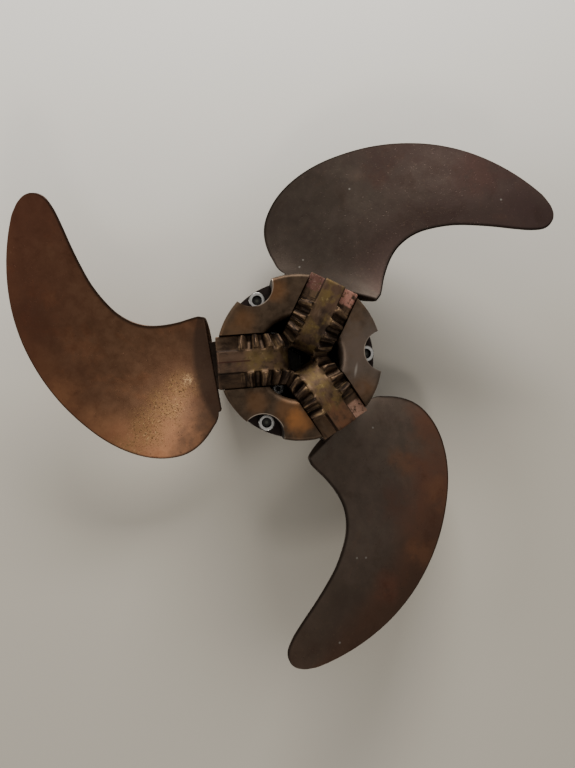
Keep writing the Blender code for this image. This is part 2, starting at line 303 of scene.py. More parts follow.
def roundShaft(radius):
    return [(radius * cos(radians(a)), radius * sin(radians(a))) for a in earTurns]


def startMaterial(name, metallic):
    material = bpy.data.materials.new(name)
    material.use_nodes = True
    tree = material.node_tree
    shader = tree.nodes["Principled BSDF"]
    shader.inputs["Metallic"].default_value = metallic
    return material, shader, addNode(tree, "ShaderNodeTexCoord").outputs["Object"]


def feed(shader, colour, rough, height, strength, distance):
    tree = shader.id_data
    tree.links.new(colour, shader.inputs["Base Color"])
    tree.links.new(rough, shader.inputs["Roughness"])
    values = {"Strength": strength, "Distance": distance, "Height": height}
    bump = addNode(tree, "ShaderNodeBump", values)
    tree.links.new(bump.outputs[0], shader.inputs["Normal"])


# Camera and light

view = {
    "place": (-47.58 * mm, -20.33 * mm, 464.62 * mm),
    "turn": (-0.0072, 0.0874, 0.0798),     # rotation vector, radians
    "focalPixels": 577,
    "frameWidth": 575,
    "sensor": 36,
}

light = {
    "keyPlace": (0.12, 1.38, 0.62), "keySize": (0.9, 0.36), "keyPower": 27,
    "keyColour": (1.0, 0.97, 0.92),
    "sidePlace": (-1.40, 0.15, 0.62), "sideSize": (0.6, 0.3), "sidePower": 6,
    "sideColour": (1.0, 0.97, 0.92),
    "lowPlace": (0.126, -1.20, 1.05), "lowSize": (0.3, 0.3), "lowPower": 3.8,
    "lowColour": (1.0, 0.95, 0.88),
    "sky": (0.83, 0.80, 0.755), "skyStrength": 0.42,
    "floorPaintedLit": (0.92, 0.90, 0.85),        # painted lighter towards the key lamp
    "floorPaintedDim": (0.56, 0.52, 0.445),
    "floorSize": 8.0, "floorDrop": 0.2 * mm,
}


def makeCamera():
    data = bpy.data.cameras.new("camera")
    data.sensor_fit = "HORIZONTAL"
    data.sensor_width = view["sensor"]
    data.lens = view["sensor"] * view["focalPixels"] / view["frameWidth"]
    data.clip_start = 0.02
    camera = placed("camera", data)
    turn = Vector(view["turn"])
    camera.rotation_mode = "QUATERNION"
    camera.rotation_quaternion = Quaternion(-turn.normalized(), turn.length)
    camera.location = view["place"]
    bpy.context.scene.camera = camera


def makeLamp(name, place, size, power, colour):
    data = bpy.data.lights.new(name, "AREA")
    data.shape = "RECTANGLE"
    data.size, data.size_y = size
    data.energy = power
    data.color = colour
    lamp = placed(name, data)
    lamp.location = place
    lamp.rotation_euler = Vector(place).to_track_quat("Z", "Y").to_euler()


def makeStage():
    half = light["floorSize"] / 2
    bm = bmesh.new()
    low = floorHeight - light["floorDrop"]
    square = [(-half, -half), (half, -half), (half, half), (-half, half)]
    bm.faces.new([bm.verts.new((x, y, low)) for x, y in square])
    floor = newObject("floor", bm)
    material, shader, place = startMaterial("floor", 0.0)
    tree = material.node_tree
    along = addNode(tree, "ShaderNodeSeparateXYZ", {0: place}).outputs[1]
    along = plus(along, times(grain(place, 5, 3), 0.06))
    # Painted light and shade: the floor is darker at -Y and lighter at +Y, towards the key lamp.
    colour = blend(stepUp(along, -0.12, 0.42), light["floorPaintedDim"], light["floorPaintedLit"])
    tree.links.new(colour, shader.inputs["Base Color"])
    shader.inputs["Roughness"].default_value = 0.6
    floor.data.materials.append(material)
    world = bpy.data.worlds.new("soft room")
    world.use_nodes = True
    background = world.node_tree.nodes["Background"]
    background.inputs["Color"].default_value = (*light["sky"], 1)
    background.inputs["Strength"].default_value = light["skyStrength"]
    bpy.context.scene.world = world
    for key in ("key", "side", "low"):
        makeLamp(f"{key} lamp", *(light[key + value] for value in ("Place", "Size", "Power", "Colour")))


makeCamera()
makeStage()
print("camera and light set")

# Blade plates

plate = {
    "discRadius": 234 * mm,
    "pitch": 280 * mm,
    "height": -19.8 * mm,            # aft face at the blade's own direction, from the hinge plane
    "palmLeading": (61 * mm, 37.5 * mm),
    "palmTrailing": (67.5 * mm, -36.5 * mm),
    "palmThickness": 13 * mm,
    "edgeThickness": 1.8 * mm,
    "palmRound": 1.6 * mm,
    "palmStrip": 3.0 * mm,
    "cornerRound": 3.0 * mm,
    "tipInset": 0.35 * mm,
    "chordSteps": 40,
    "ripple": 0.10 * mm,
    # share of the disc radius, leading and trailing angle clockwise from aft, thickness in mm
    "stations": (
        (0.35, -35.0, 26.9, 12.5), (0.40, -37.3, 21.6, 11.5), (0.45, -38.0, 18.4, 10.5),
        (0.50, -37.0, 16.9, 9.7), (0.55, -34.2, 17.1, 9.0), (0.60, -30.2, 18.6, 8.3),
        (0.65, -25.0, 21.2, 7.6), (0.70, -18.9, 24.2, 6.9), (0.75, -12.1, 27.6, 6.3),
        (0.80, -5.4, 30.8, 5.7), (0.85, 1.6, 33.7, 5.1), (0.90, 9.1, 35.9, 4.5),
        (0.94, 16.2, 36.7, 4.0), (0.97, 22.7, 36.2, 3.6), (0.985, 26.5, 35.5, 3.3),
        (0.995, 29.4, 34.4, 3.1), (1.00, 31.0, 33.2, 3.0),
    ),
    "rows": 78, "evenSpan": 0.62,      # even rows along the blade, then closer ones at the tip
    "tipShares": (0.975, 0.98, 0.985, 0.989, 0.9925, 0.995, 0.997, 0.9985, 0.9995, 1.0),
}


# Leading angle, trailing angle and thickness, by a cubic through the stations.
def stationAt(share):
    rows = plate["stations"]
    last = len(rows) - 2
    k = next((i for i in range(last + 1) if share <= rows[i + 1][0]), last)
    span = rows[k + 1][0] - rows[k][0]
    t = (share - rows[k][0]) / span
    values = []
    for column in (1, 2, 3):
        slopes = []
        for i in (k, k + 1):
            a, b = max(i - 1, 0), min(i + 1, last + 1)
            before = (rows[i][column] - rows[a][column]) / max(rows[i][0] - rows[a][0], 1e-9)
            after = (rows[b][column] - rows[i][column]) / max(rows[b][0] - rows[i][0], 1e-9)
            if a == i:
                slopes.append(after)
            elif b == i:
                slopes.append(before)
            else:
                left, right = rows[i][0] - rows[a][0], rows[b][0] - rows[i][0]
                slopes.append((before * right + after * left) / (left + right))
        p, q = rows[k][column], rows[k + 1][column]
        values.append((2 * t**3 - 3 * t**2 + 1) * p + (t**3 - 2 * t**2 + t) * span * slopes[0]
                      + (3 * t**2 - 2 * t**3) * q + (t**3 - t**2) * span * slopes[1])
    return values[0], values[1], values[2] * mm


# Point in a blade's frame: origin on the hinge, X outward, depth square to the aft face.
def bladePoint(radius, angle, depth):
    rise = plate["pitch"] / (2 * pi)
    slope = atan2(rise, radius)
    turned = radians(angle) + depth * sin(slope) / radius
    height = plate["height"] + rise * radians(angle) - depth * cos(slope)
    return Vector((radius * cos(turned) - hingeRadius, -radius * sin(turned), height))


# Plan point on the palm's inner edge, from the leading to the trailing corner.
def palmPlan(t, out):
    start, end = Vector(plate["palmLeading"]), Vector(plate["palmTrailing"])
    spot2d = start.lerp(end, t)
    return Vector((spot2d.x + out, spot2d.y))


# A row between the palm's inner edge (share 0) and the first station (share 1).
def palmRow(share, out):
    lead, trail, thick = stationAt(plate["stations"][0][0])
    radius = plate["stations"][0][0] * plate["discRadius"]

    def place(t):
        a = radians(lead + (trail - lead) * t)
        spot2d = palmPlan(t, out).lerp(Vector((radius * cos(a), -radius * sin(a))), share)
        return spot2d.length, degrees(atan2(-spot2d.y, spot2d.x))
    return place, plate["palmThickness"] + (thick - plate["palmThickness"]) * share


def stationRow(share):
    lead, trail, thick = stationAt(share)

    def place(t):
        return plate["discRadius"] * share, lead + (trail - lead) * t
    return place, thick


# One closed section: aft face, trailing edge, forward face, leading edge.
def plateRing(place, thick, inset, corner):
    edge = plate["edgeThickness"]
    first, last = (bladePoint(*place(t), 0) for t in (0, 1))
    chord = (last - first).length
    edgeInset = min(inset, 0.42 * edge)
    nose = edge / 2 - edgeInset
    tip = (edgeInset + corner) / chord
    start = tip + nose / chord
    steps = plate["chordSteps"]

    def thickness(t):
        return edge + (thick - edge) * (4 * t * (1 - t)) ** 0.75

    face, back = [], []
    for i in range(steps + 1):
        t = start + (1 - 2 * start) * (1 - cos(pi * i / steps)) / 2
        deep = thickness(t)
        cut = min(inset, 0.42 * deep)
        flat = bladePoint(*place(t), 0)
        ripple = plate["ripple"] * noise.noise(flat * 32) * min(1, 12 * t * (1 - t))
        face.append((t, cut + ripple))
        back.append((t, deep - cut))
    noses = []
    for a in (-50, 0, 50):
        away = tip + nose * (1 - cos(radians(a))) / chord
        noses.append((away, edge / 2 + nose * sin(radians(a))))
    trailing = [(1 - away, depth) for away, depth in noses]
    leading = [(away, depth) for away, depth in noses[::-1]]
    return [(t, bladePoint(*place(t), depth)) for t, depth in face + trailing + back[::-1] + leading]


def makePlate():
    rings = []
    bend = plate["palmRound"]
    corner = plate["cornerRound"]
    turns = [radians(a) for a in (0, 22, 45, 67, 90)]
    lengths = [(bend * (1 - cos(a)), bend * (1 - sin(a))) for a in turns]
    lengths += [(out, 0.0) for out in (2.1 * mm, 2.6 * mm, plate["palmStrip"])]
    for out, inset in lengths:
        short = max(corner - out, 0)
        cut = corner - sqrt(corner**2 - short**2)
        rings.append((0.0, plateRing(*palmRow(0, out), inset, cut)))
    for i in range(1, 6):
        rings.append((0.3 * i / 5, plateRing(*palmRow(i / 6, plate["palmStrip"] * (1 - i / 6)), 0, 0)))
    first, rows = plate["stations"][0][0], plate["rows"]
    shares = [first + plate["evenSpan"] * i / rows for i in range(rows + 1)]
    shares += plate["tipShares"]
    for share in shares:
        inset = plate["tipInset"] if share in plate["tipShares"][-2:] else 0.0
        rings.append((share, plateRing(*stationRow(share), inset, 0)))
    bm = bmesh.new()
    layer = bm.loops.layers.uv.new("blade")
    made = [[bm.verts.new(point) for t, point in ring] for share, ring in rings]
    count = len(made[0])
    marks = {}
    for (share, ring), row in zip(rings, made):
        for (t, point), vert in zip(ring, row):
            marks[vert] = (share, t)
    bridgeRings(bm, made)
    steps = plate["chordSteps"]
    for row in (made[0], made[-1]):
        for i in range(steps):
            j = 2 * steps + 4 - i
            bm.faces.new((row[i], row[i + 1], row[j - 1], row[j]))
        bm.faces.new(row[steps:steps + 5])
        bm.faces.new(row[:count - 5:-1] + row[:1])
    for face in bm.faces:
        for loop in face.loops:
            loop[layer].uv = marks[loop.vert]
    return newObject("plate", bm)


bladePlate = makePlate()
print("blade plate made:", len(bladePlate.data.polygons), "faces")

# Blade roots

root = {
    "halfWidth": 19.2 * mm,
    "outerEnd": 27.5 * mm,
    "bottom": -42 * mm,
    "footStart": 14 * mm,
    "heelRadius": 16 * mm,
    "coreRadius": 20 * mm,
    "bandRadius": 26.2 * mm,
    "bandHalfWidth": 8 * mm,
    "bandEdge": 5.5 * mm,
    "padHeight": 19.3 * mm,
    "toothStart": 8.8 * mm,
    "toothStartRadius": 27.3 * mm,
    "toothCapRadius": 29.5 * mm,
    "sectorEnd": 105,
    "pinBore": 7.3 * mm,
    "teeth": 16,
    "cone": radians(30),
    "pressure": radians(25),
    "backlash": 0.4 * mm,
    "smallEnd": 21.5 * mm,
    "largeEnd": 7.7 * mm,
    "firstGaps": {-1: -31, 1: -19.75},     # clockwise row, counterclockwise row
    "neckOverlap": 7 * mm,
    "neckLength": 36 * mm,
    "neckHalfWidth": 18.9 * mm,
    "neckTaper": 1.9 * mm,
    "neckDepth": 11.5 * mm,
    "voxel": 0.62 * mm,
}

# Half a side of the triangle of hinge lines; the tooth cones have their points at its corners.
apex = 2 * hingeRadius * sin(radians(60))


# Round the hinge, from straight aft towards the shaft.
def rootPoint(radius, angle):
    return (-radius * sin(radians(angle)), radius * cos(radians(angle)))


# Outline extruded across, with the pin's bore right through it.
def boredBlock(name, outline, halfWidth):
    block = extrudeAcross(name, outline, halfWidth)
    combine(block, rod("bore", root["pinBore"], -30 * mm, 30 * mm, 48, along="Y"))
    return settle(block)


def rootCore():
    foot = root["bottom"]
    outline = [(root["outerEnd"], foot), (root["footStart"], foot)]
    padEnd = degrees(acos(root["padHeight"] / root["coreRadius"]))
    sector = root["sectorEnd"]
    turns = ((root["heelRadius"], 180, sector + 5), (root["coreRadius"], sector - 5, padEnd))
    for radius, start, end in turns:
        outline += [rootPoint(radius, start + (end - start) * i / 12) for i in range(13)]
    outline.append((root["outerEnd"], root["padHeight"]))
    return boredBlock("core", outline, root["halfWidth"])


def rootBand():
    end = root["sectorEnd"] - 1
    radius = root["bandRadius"]
    outline = [rootPoint(radius, end * (1 - i / 30)) for i in range(31)]
    outline += arc((root["outerEnd"] - 2.3 * mm, radius - 2 * mm), 2 * mm, 90, 0)
    outline += [(root["outerEnd"] - 0.3 * mm, 0), rootPoint(root["heelRadius"] - 1 * mm, end)]
    return boredBlock("band", outline, root["bandHalfWidth"])


# One end of a tooth gap, square to the pitch cone.
def gapSection(side, gapAngle, position):
    cone, pressure = root["cone"], root["pressure"]
    coneReach = (apex - position) / cos(cone)
    pitchRadius = coneReach * tan(cone)
    module = 2 * coneReach * sin(cone) / root["teeth"]
    virtual = root["teeth"] / cos(cone)
    baseRadius = pitchRadius * cos(pressure)
    toothHalf = pi / (2 * virtual) - root["backlash"] / pitchRadius
    involute = tan(pressure) - pressure
    half = []
    for share in (-1.2, -0.9, -0.45, -0.1, 0.2, 0.6, 1.0, 1.8):
        radius = pitchRadius + share * module
        at = acos(min(1, baseRadius / radius))
        offset = pi / virtual - (toothHalf + involute - (tan(at) - at))
        half.append((share * module, offset / cos(cone)))
    points = []
    for turn, heights in ((-1, half[::-1]), (1, half)):
        for height, offset in heights:
            a = radians(gapAngle) + turn * offset
            reach = coneReach * sin(cone) + height * cos(cone)
            along = apex - coneReach * cos(cone) + height * sin(cone)
            points.append((-reach * sin(a), side * along, reach * cos(a)))
    return points


# A turned sector with its face cone, then the gaps cut out of it.
def toothRow(side):
    faceAngle = root["cone"] + atan2(1, root["teeth"])
    inner = root["heelRadius"] - 2 * mm
    wide = root["halfWidth"] - 0.2 * mm
    cap = root["toothCapRadius"]
    profile = (
        (root["bandEdge"], inner),
        (root["bandEdge"], root["bandRadius"] - 0.3 * mm),
        (root["toothStart"], root["toothStartRadius"]),
        (root["toothStart"], cap),
        (apex - cap / tan(faceAngle), cap),
        (wide, (apex - wide) * tan(faceAngle)),
        (wide, inner),
    )
    first = root["firstGaps"][side]
    rings = []
    for step in range(61):
        angle = first + (root["sectorEnd"] - first) * step / 60
        points = [(along, rootPoint(radius, angle)) for along, radius in profile]
        rings.append([(x, side * along, z) for along, (x, z) in points])
    row = loft("row", rings)
    step = 360 / root["teeth"]
    for number in range(ceil((root["sectorEnd"] - first) / step)):
        angle = first + number * step
        ends = [gapSection(side, angle, root[key]) for key in ("smallEnd", "largeEnd")]
        combine(row, loft(f"gap{number}", ends))
    return settle(row)


# Carries the palm: leaves the block full width and fades into the palm's forward face.
def rootNeck():
    rise = plate["pitch"] / (2 * pi)
    rings = []
    for i in range(9):
        share = i / 8
        x = root["outerEnd"] - root["neckOverlap"] + share * root["neckLength"]
        half = root["neckHalfWidth"] - share * root["neckTaper"]
        ring = []
        for j in range(9):
            y = -half + 2 * half * j / 8
            angle = degrees(atan2(-y, x + hingeRadius))
            top = plate["height"] + rise * radians(angle) - 0.9 * mm
            ring.append((x, y, top))
        lower = []
        for x, y, top in ring[::-1]:
            fade = share ** 0.6
            bottom = (root["bottom"] + 0.4 * mm) * (1 - fade) + (top - root["neckDepth"]) * fade
            lower.append((x, y, min(bottom, top - 1.5 * mm)))
        rings.append(ring + lower)
    return loft("neck", rings)


def makeRoot():
    made = joinAll("root", [rootCore(), rootBand(), toothRow(-1), toothRow(1), rootNeck()])
    remesh = made.modifiers.new("cast", "REMESH")
    remesh.mode = "VOXEL"
    remesh.voxel_size = root["voxel"]
    ease = made.modifiers.new("ease", "SMOOTH")
    ease.factor = 0.5
    ease.iterations = 3
    return settle(made)


bladeRoot = makeRoot()
print("blade root made:", len(bladeRoot.data.polygons), "faces")

# Bronze of the blades, roots and hub

# Defaults for each blade; the painted highlight and painted shade spots are empty here.
bladeDefaults = {"goldHighlight": (), "paintedShadeSpots": (), "specks": (), "ground": (), "bright": None, "centreLine": 0.0,
          "warmFrom": (0.0, 0.01), "rootSpan": (0.40, 0.12), "rough": 0.37}

bronze = {
    "blade_1": {
        **bladeDefaults,
        "plain": ((0.128, 0.062, 0.034), (0.205, 0.106, 0.060)),
        "warm": (0.300, 0.140, 0.070), "warmSpan": (0.42, 0.02), "warmShare": 0.75,
        "tip": (0.112, 0.043, 0.026), "root": (0.058, 0.036, 0.026), "rootSpan": (0.43, 0.26),
        "seed": 1.3, "grease": 0.7, "greaseSpan": (0.016, 0.002), "centreLine": 0.8,
        "stain": ((0.095, 0.052, 0.036), 0.45), "blotch": 0.5,
        # painted highlight: the pale hot spot of the lamp on this blade
        "bright": ((-0.0860, -0.0088, 0.0019), 0.0058),
        "patches": (((-0.184, -0.013, 0.003), 0.016, 0.45, (0.330, 0.150, 0.072)),
                    ((-0.161, -0.035, -0.003), 0.016, 0.45, (0.330, 0.160, 0.080)),
                    ((-0.139, -0.052, -0.008), 0.014, 0.30, (0.350, 0.160, 0.085)),
                    ((-0.196, 0.045, 0.017), 0.018, 0.45, (0.090, 0.038, 0.024))),
        # painted highlight: golden speckled patches along the lamp's highlight on this blade
        "goldHighlight": (((-0.093, -0.017, 0.004), 0.016), ((-0.104, -0.030, 0.0), 0.020),
                 ((-0.122, -0.046, -0.002), 0.022), ((-0.140, -0.060, -0.003), 0.018)),
        # painted shade: dark spots that end the highlight towards the leading root corner
        "paintedShadeSpots": (((-0.073, -0.049, -0.008), 0.026), ((-0.090, -0.068, -0.010), 0.020)),
    },
    "blade_2": {
        **bladeDefaults,
        "plain": ((0.070, 0.053, 0.043), (0.088, 0.067, 0.054)),
        "warm": (0.030, 0.018, 0.015), "warmSpan": (0.40, 0.90), "warmShare": 0.9,
        "tip": (0.078, 0.050, 0.044), "root": (0.072, 0.056, 0.046), "rough": 0.35,
        "seed": 4.1, "grease": 0.95, "greaseSpan": (0.050, 0.026),
        "stain": ((0.070, 0.036, 0.026), 0.45), "blotch": 0.4,
        "ground": ((1, 0.6, (0.19, 0.080, 0.068)), (-1, 0.85, (0.44, 0.21, 0.16))),
        "patches": (((0.090, 0.152, 0.007), 0.028, 0.80, (0.048, 0.028, 0.024)),
                    ((0.158, 0.135, 0.021), 0.022, 0.60, (0.075, 0.036, 0.030)),
                    ((0.186, 0.111, 0.029), 0.016, 0.40, (0.060, 0.034, 0.032)),
                    ((0.041, 0.138, -0.004), 0.018, 0.35, (0.050, 0.036, 0.028))),
        "specks": ((0.0567, 0.1364), (0.1713, 0.1131), (0.0119, 0.0774), (0.0151, 0.0828)),
    },
    "blade_3": {
        **bladeDefaults,
        "plain": ((0.098, 0.074, 0.059), (0.125, 0.093, 0.073)),
        "warm": (0.160, 0.075, 0.048), "warmSpan": (0.66, 0.30), "warmShare": 0.9,
        "warmFrom": (0.48, 0.66),
        "tip": (0.060, 0.038, 0.027), "root": (0.120, 0.095, 0.077),
        "seed": 7.7, "grease": 0.9, "greaseSpan": (0.020, 0.008),
        "stain": ((0.150, 0.064, 0.032), 0.75), "blotch": 0.45,
        "ground": ((1, 0.85, (0.42, 0.24, 0.17)),),
        "patches": (((0.083, -0.089, -0.004), 0.013, 0.50, (0.200, 0.092, 0.050)),
                    ((0.112, -0.120, -0.004), 0.014, 0.45, (0.230, 0.105, 0.055)),
                    ((0.089, -0.161, 0.007), 0.015, 0.45, (0.220, 0.100, 0.052)),
                    ((0.058, -0.186, 0.016), 0.014, 0.35, (0.180, 0.070, 0.045)),
                    ((0.070, -0.122, 0.005), 0.018, 0.45, (0.100, 0.042, 0.030)),
                    ((0.020, -0.188, 0.024), 0.016, 0.45, (0.050, 0.036, 0.026))),
        "specks": ((0.0617, -0.0603), (0.0348, -0.1582), (0.0423, -0.1593), (0.0150, -0.2191)),
    },
}


# Object coordinates turned so that X runs out along a blade.
def turned(place, angle):
    values = {"Vector": place, "Rotation": (0, 0, radians(-angle))}
    return addNode(treeOf(place), "ShaderNodeMapping", values).outputs[0]


def plateMaterial(name):
    look = bronze[name]
    material, shader, place = startMaterial(name + "_bronze", 0.9)
    tree = material.node_tree
    spread = addNode(tree, "ShaderNodeUVMap", uv_map="blade").outputs[0]    # share of the radius, chord
    spread = addNode(tree, "ShaderNodeSeparateXYZ", {0: spread}).outputs
    out, across = spread[0], spread[1]
    seed = look["seed"]
    cloud = grain(place, 16, 4, 0.55, 0.3, seed)
    mottle = grain(place, 90, 6, 0.65, 0.2, seed + 3)
    fine = grain(place, 480, 4, 0.65, 0.0, seed + 5)
    blotch = grain(place, 30, 6, 0.7, 0.25, seed + 7)
    drift = times(minus(cloud, 0.5), 0.7)
    colour = blend(stepUp(mottle, 0.25, 0.75), *look["plain"])
    warm = stepUp(plus(across, drift), *look["warmSpan"])
    warm = mathNode("MULTIPLY", warm, plus(0.55, times(mottle, 0.9)), clamp=True)
    warm = times(warm, stepUp(plus(out, drift), *look["warmFrom"]))
    colour = paint(colour, look["warm"], warm, look["warmShare"])
    tip = stepUp(plus(out, times(drift, 0.4)), 0.60, 0.95)
    colour = paint(colour, look["tip"], tip, 0.8)
    palm = stepUp(plus(out, times(drift, 0.2)), *look["rootSpan"])
    colour = paint(colour, look["root"], palm, 0.85)
    # Painted shade: dark spots where the highlight falls off near the leading root corner.
    for centre, radius in look["paintedShadeSpots"]:
        paintedShadeSpots = spot(place, centre, radius)
        colour = paint(colour, (0.062, 0.038, 0.026), paintedShadeSpots, 0.75)
    for centre, radius, share, tint in look["patches"]:
        patch = spot(place, centre, radius, 0.5, 50)
        colour = paint(colour, tint, patch, stepUp(mottle, 0.25, 0.60), share)
    for tint, span in (((0.55, 0.42, 0.37), (0.50, 0.70)), ((1.30, 1.12, 1.0), (0.45, 0.32))):
        colour = paint(colour, tint, stepUp(blotch, *span), look["blotch"], kind="MULTIPLY")
    # Painted highlight: golden speckles laid along the blade's lamp highlight.
    goldHighlight = 0.0
    for centre, radius in look["goldHighlight"]:
        goldHighlight = larger(spot(place, centre, radius, 0.5, 60), goldHighlight)
    goldHighlight = times(goldHighlight, stepUp(fine, 0.30, 0.62))
    colour = paint(colour, (0.215, 0.120, 0.052), goldHighlight, 0.85)
    # Painted glints: fine pale sparkle, strongest inside the painted highlight.
    paintedGlints = stepUp(grain(place, 520, 3, 0.6, 0, seed + 9), 0.58, 0.68)
    colour = paint(colour, (0.50, 0.33, 0.17), paintedGlints, plus(0.03, times(goldHighlight, 0.6)))
    # Painted highlight: a pale hot spot where the lamp reflects most.
    if look["bright"]:
        bright = times(spot(place, *look["bright"]), stepUp(fine, 0.42, 0.60))
        colour = paint(colour, (0.47, 0.30, 0.16), bright)
    spots = grain(place, 700, 2, 0.5, 0, seed + 1)
    pits = times(goldHighlight, stepUp(spots, 0.56, 0.64))
    pits = larger(stepUp(spots, 0.66, 0.74), pits)
    colour = paint(colour, (0.025, 0.017, 0.012), pits, 0.45)
    if look["specks"]:
        pale = nearAny(place, look["specks"], 0.0007, 0.0005)
        colour = paint(colour, (0.42, 0.40, 0.36), pale, 0.5)
    rim = larger(stepUp(across, 0.030, 0.004), stepUp(across, 0.970, 0.996))
    colour = paint(colour, (0.012, 0.008, 0.006), rim, 0.85)
    rough = plus(look["rough"] - 0.06, times(mottle, 0.12))
    rough = plus(rough, times(palm, 0.16))
    height = minus(plus(times(mottle, 0.4), times(fine, 0.35)), pits)
    feed(shader, colour, rough, height, 0.25, 0.0003)
    return material


def rootMaterial(name):
    look = bronze[name]
    material, shader, place = startMaterial(name + "_root_bronze", 0.8)
    tree = material.node_tree
    local = turned(place, bladeTurns[name])
    x, y, z = addNode(tree, "ShaderNodeSeparateXYZ", {0: local}).outputs
    side = mathNode("ABSOLUTE", y)
    inward = minus(x, hingeRadius)
    aft = minus(z, hingeHeight)
    reach = apart(addNode(tree, "ShaderNodeCombineXYZ", {0: inward, 2: aft}).outputs[0])
    along = addNode(tree, "ShaderNodeMapping", {"Vector": local, "Scale": (0.3, 1, 0.5)}).outputs[0]
    cloud = grain(place, 75, 5, 0.6, 0.3, look["seed"] + 1)
    mottle = grain(place, 260, 5, 0.65, 0.3, look["seed"] + 2)
    streaks = grain(along, 420, 4, 0.6, 0.4, look["seed"] + 4)
    colour = blend(stepUp(cloud, 0.32, 0.66), (0.033, 0.020, 0.014), (0.138, 0.084, 0.049))
    colour = paint(colour, (0.15, 0.10, 0.066), stepUp(streaks, 0.5, 0.68), 0.45)
    colour = paint(colour, (0.030, 0.019, 0.014), stepUp(streaks, 0.47, 0.33), 0.6)
    ragged = times(minus(mottle, 0.5), 0.02)
    patchy = stepUp(grain(place, 95, 4, 0.6, 0.6, look["seed"]), 0.40, 0.62)
    upper = larger(stepUp(aft, 0.004, 0.015), stepUp(inward, 0.016, 0.010))
    grease = times(stepUp(plus(side, ragged), 0.0135, 0.0015), patchy, upper,
                   stepUp(plus(inward, ragged), *look["greaseSpan"]), look["grease"])
    stainColour, stainShare = look["stain"]
    colour = paint(colour, stainColour, stepUp(side, 0.0115, 0.004),
                   stepUp(inward, 0.000, 0.010), stepUp(cloud, 0.36, 0.56), stainShare)
    colour = paint(colour, (0.158, 0.105, 0.036), grease)
    colour = paint(colour, (0.36, 0.28, 0.12), grease, stepUp(mottle, 0.56, 0.66), 0.7)
    colour = paint(colour, (0.045, 0.015, 0.010), stepUp(side, 0.0007, 0.0003),
                   stepUp(inward, 0.002, 0.005), look["centreLine"])
    colour = paint(colour, (0.018, 0.011, 0.008), stepUp(side, 0.0071, 0.0077),    # painted shade in the groove beside the band
                   stepUp(side, 0.0094, 0.0086), stepUp(inward, 0.008, 0.012), 0.8)
    teethZone = stepUp(side, 0.007, 0.009)
    # Painted shade: the floors of the tooth gaps darkened.
    colour = paint(colour, (0.022, 0.014, 0.009), stepUp(reach, 0.0275, 0.0245), teethZone,
                   stepUp(inward, 0.012, 0.004), 0.5)
    around = times(mathNode("ARCTAN2", inward, aft), 0.028)
    onSector = addNode(tree, "ShaderNodeCombineXYZ", {0: around, 1: times(y, 0.12)}).outputs[0]
    ribs = grain(onSector, 520, 3, 0.6, 0.0, look["seed"] + 6)
    onTeeth = times(teethZone, stepUp(inward, 0.014, 0.009))
    colour = paint(colour, (0.020, 0.012, 0.008), onTeeth, stepUp(ribs, 0.52, 0.40))
    colour = paint(colour, (0.32, 0.21, 0.11), onTeeth, stepUp(ribs, 0.54, 0.68), 0.75)
    outer = stepUp(plus(inward, times(ragged, 0.12)), 0.0150, 0.0165)
    outer = times(outer, stepUp(plus(aft, ragged), 0.010, 0.016))
    scratch = grain(local, 900, 3, 0.7, 1.5, look["seed"])
    for sign, share, tint in look["ground"]:
        onSide = stepUp(times(y, sign), 0.0075, 0.009)
        patch = times(outer, onSide, stepUp(mottle, 0.36, 0.5))
        colour = paint(colour, tint, patch, share)
        colour = paint(colour, (0.62, 0.47, 0.38), patch, stepUp(scratch, 0.58, 0.68), share)
    # Painted shade: the neck under the palm darkened.
    neck = stepUp(inward, 0.0268, 0.0282)
    colour = paint(colour, (0.020, 0.013, 0.010), neck, 0.8)
    rough = plus(0.48, times(mottle, 0.22))
    feed(shader, colour, rough, mottle, 0.35, 0.0003)
    return material


hub = {
    "earTop": 23 * mm,            # heights from the hinge plane
    "bottom": -65 * mm,
    "cavityFloor": -55 * mm,
    "cavityRadius": 31 * mm,
    "outerRound": 3 * mm,
    "innerRound": 5 * mm,
    "slotHalfWidth": 19.7 * mm,
    "sill": -42.3 * mm,
    "wallRadius": 56 * mm,
    "centreHole": 21.8 * mm,
    "pocketFloor": -8 * mm,
    "pocketRadius": 15.4 * mm,
    "pocketCentre": 62.8 * mm,
    "boreLow": -36.3 * mm,
    "drillBottom": -80 * mm,
    "edge": 0.45 * mm,
}

# warm stains on the ears: place, radius, share
hubStains = (
    ((-0.005, -0.0469, 0.049), 0.0105, 0.8),
    ((-0.013, -0.038, 0.049), 0.011, 0.3),
    ((-0.0147, 0.0497, 0.049), 0.010, 0.28),
    ((-0.038, 0.030, 0.049), 0.011, 0.2),
    ((-0.034, -0.030, 0.049), 0.010, 0.2),
    ((0.046, -0.024, 0.049), 0.010, 0.25),
)


